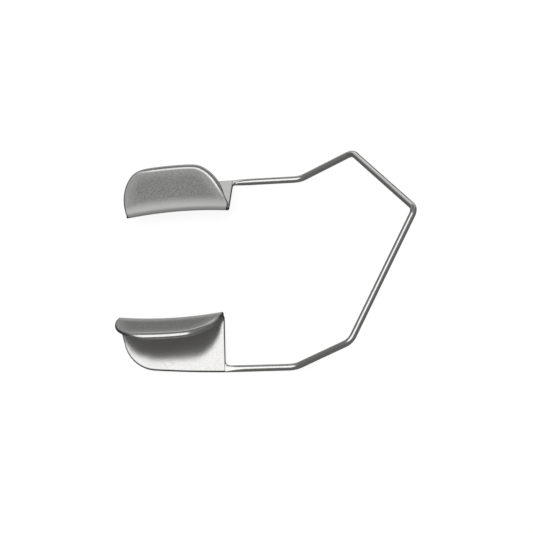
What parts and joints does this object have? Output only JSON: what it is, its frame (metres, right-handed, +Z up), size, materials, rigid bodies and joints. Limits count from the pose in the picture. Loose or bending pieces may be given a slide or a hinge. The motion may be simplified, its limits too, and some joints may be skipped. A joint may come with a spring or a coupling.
{
  "type": "wire eyelid speculum",
  "caption": "Self-retaining spring-wire lid speculum: a bent wire loop pushes two folded solid blades apart to hold a small opening wide.",
  "frame": {"origin": "middle of the object's length and width, on the plane that the two flat arms rest on", "axes": "+X along the object towards the crown of the spring, Y across it (the two sides mirror each other), +Z up from the plane it lies on towards the lips and the crown"},
  "size_m": [0.041, 0.034, 0.0127],
  "materials": {
    "spring_wire": "satin-polished round spring wire",
    "blade_sheet": "fine matt satin sheet with brighter rolled edges",
    "braze": "smooth satin filler metal"
  },
  "bodies": {
    "crown": {"crown_wire": "spring_wire"},
    "upper_side": {"upper_arm_wire": "spring_wire", "upper_blade": "blade_sheet", "upper_braze": "braze"},
    "lower_side": {"lower_arm_wire": "spring_wire", "lower_blade": "blade_sheet", "lower_braze": "braze"}
  },
  "joints": [
    {"name": "upper_flex", "type": "hinge", "parent": "crown", "child": "upper_side", "pos_m": [0.01577, 0.0083, 0.00898], "axis": [-0.205, 0, 0.9788], "range_deg": [-3, 13.5], "stiffness_Nm_per_rad": 0.245},
    {"name": "lower_flex", "type": "hinge", "parent": "crown", "child": "lower_side", "pos_m": [0.01577, -0.0083, 0.00898], "axis": [0.205, 0, -0.9788], "range_deg": [-3, 13.5], "stiffness_Nm_per_rad": 0.245}
  ]
}
